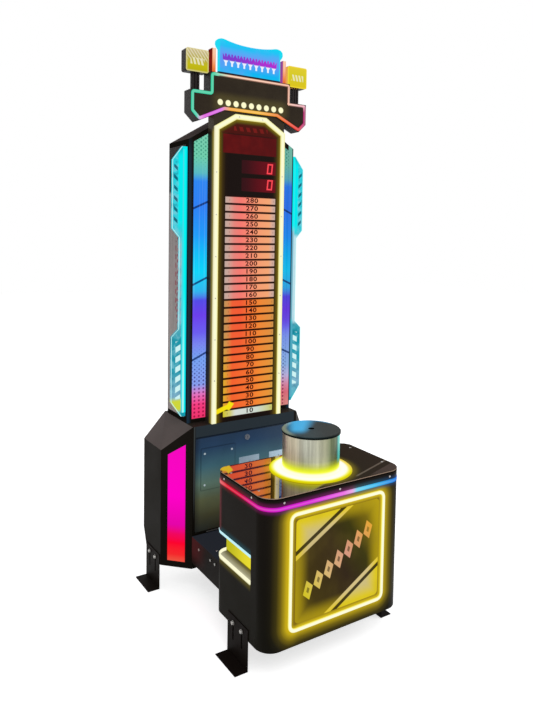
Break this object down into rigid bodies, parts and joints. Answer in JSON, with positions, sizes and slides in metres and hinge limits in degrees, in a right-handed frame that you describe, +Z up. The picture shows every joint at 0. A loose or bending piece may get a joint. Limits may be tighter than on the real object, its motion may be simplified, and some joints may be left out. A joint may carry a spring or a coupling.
{
  "type": "strength tester arcade machine",
  "caption": "Strength tester arcade machine: a sprung round target on a lit pedestal, joined by a low duct to a tall lit score tower with side wings and a shaped top sign.",
  "frame": {"origin": "on the floor, in the middle of the machine's footprint", "axes": "+Z up, -Y towards the player at the pedestal's front, +X to the player's right"},
  "size_m": [0.836, 0.96, 2.35],
  "materials": {
    "black_shell": "black powder coat, satin",
    "gloss_black": "gloss black lacquer",
    "dark_metal": "dark coated sheet steel",
    "dark_glass": "mirror-gloss black acrylic",
    "lit_yellow": "lit acrylic",
    "lit_warm": "lit silicone tube",
    "lit_magenta": "lit acrylic",
    "lit_rainbow": "lit acrylic, changing colour",
    "lit_red": "lit acrylic",
    "lit_cyan": "edge-lit acrylic",
    "gold_graphic": "printed panel, lit at its edge",
    "grey_graphic": "printed panel",
    "bright_steel": "zinc plated",
    "brushed_steel": "brushed stainless",
    "bronze": "oiled bearing bronze",
    "rubber": "moulded rubber",
    "pale_plate": "satin",
    "matte_plastic": "moulded",
    "button_red": "moulded"
  },
  "bodies": {
    "cabinet": {"pedestal_shell": "black_shell", "notch_liners": "dark_metal", "notch_panels": "lit_yellow", "notch_strips": "lit_warm", "front_panel": "gold_graphic", "front_neon": "lit_warm", "rgb_strip": "lit_magenta", "top_trim": "black_shell", "top_glass": "dark_glass", "glow_ring": "lit_yellow", "screws": "bright_steel", "deck_plate": "dark_metal", "guide_posts": "bright_steel", "post_springs": "bright_steel", "bump_stops": "rubber", "strike_sensor": "matte_plastic", "duct_box": "gloss_black", "base_shell": "black_shell", "corner_windows": "lit_magenta", "column_shell": "gloss_black", "column_rear_panel": "black_shell", "column_lights": "lit_rainbow", "display_box": "black_shell", "display_frame": "lit_yellow", "display_glass": "dark_glass", "scale_cells": "lit_red", "score_digits": "lit_red", "wings": "lit_cyan", "wing_bands": "lit_cyan", "side_panels": "grey_graphic", "marquee_box": "gloss_black", "marquee_neon": "lit_rainbow", "marquee_face": "dark_glass", "sign_panel": "lit_cyan", "sign_bars": "lit_red", "head_blocks": "black_shell", "head_faces": "lit_yellow", "foot_brackets": "dark_metal", "bolts": "bright_steel", "door_hinge": "bright_steel", "rear_hinge": "bright_steel", "power_inlet": "matte_plastic", "cash_box": "dark_metal", "power_supply": "bright_steel", "control_board": "matte_plastic"},
    "striker": {"target_sleeve": "brushed_steel", "target_pad": "rubber", "pad_bolt": "bright_steel", "striker_plate": "dark_metal", "guide_bushes": "bronze"},
    "coin_door": {"front_door": "gloss_black", "blanking_plate": "gloss_black", "coin_plates": "pale_plate", "coin_mechs": "matte_plastic"},
    "left_coin_button": {"coin_button_left": "button_red"},
    "right_coin_button": {"coin_button_right": "button_red"},
    "coin_door_lock": {"door_lock": "bright_steel"},
    "service_door": {"rear_door": "black_shell"},
    "service_door_lock": {"rear_lock": "bright_steel"},
    "rocker": {"power_switch": "button_red"}
  },
  "joints": [
    {"name": "target_slide", "type": "slide", "parent": "cabinet", "child": "striker", "axis": [0, 0, 1], "range_m": [-0.028, 0], "stiffness_N_per_m": 12000, "springref_m": 0.015, "deforming": ["post_springs"]},
    {"name": "coin_door_hinge", "type": "hinge", "parent": "cabinet", "child": "coin_door", "pos_m": [0, 0.1735, 0.258], "axis": [1, 0, 0], "range_deg": [0, 40]},
    {"name": "left_coin_button_slide", "type": "slide", "parent": "coin_door", "child": "left_coin_button", "axis": [0, 1, 0], "range_m": [0, 0.0035], "stiffness_N_per_m": 400, "springref_m": -0.003},
    {"name": "right_coin_button_slide", "type": "slide", "parent": "coin_door", "child": "right_coin_button", "axis": [0, 1, 0], "range_m": [0, 0.0035], "stiffness_N_per_m": 400, "springref_m": -0.003},
    {"name": "coin_door_lock_turn", "type": "hinge", "parent": "coin_door", "child": "coin_door_lock", "pos_m": [0, 0.178, 0.641], "axis": [0, -1, 0], "range_deg": [0, 90]},
    {"name": "service_door_hinge", "type": "hinge", "parent": "cabinet", "child": "service_door", "pos_m": [-0.216, 0.473, 0.416], "axis": [0, 0, 1], "range_deg": [0, 100]},
    {"name": "service_door_lock_turn", "type": "hinge", "parent": "service_door", "child": "service_door_lock", "pos_m": [0.165, 0.473, 0.416], "axis": [0, 1, 0], "range_deg": [0, 90]},
    {"name": "power_switch_rock", "type": "hinge", "parent": "cabinet", "child": "rocker", "pos_m": [0.296, 0.464, 0.303], "axis": [1, 0, 0], "range_deg": [-16, 0]}
  ]
}
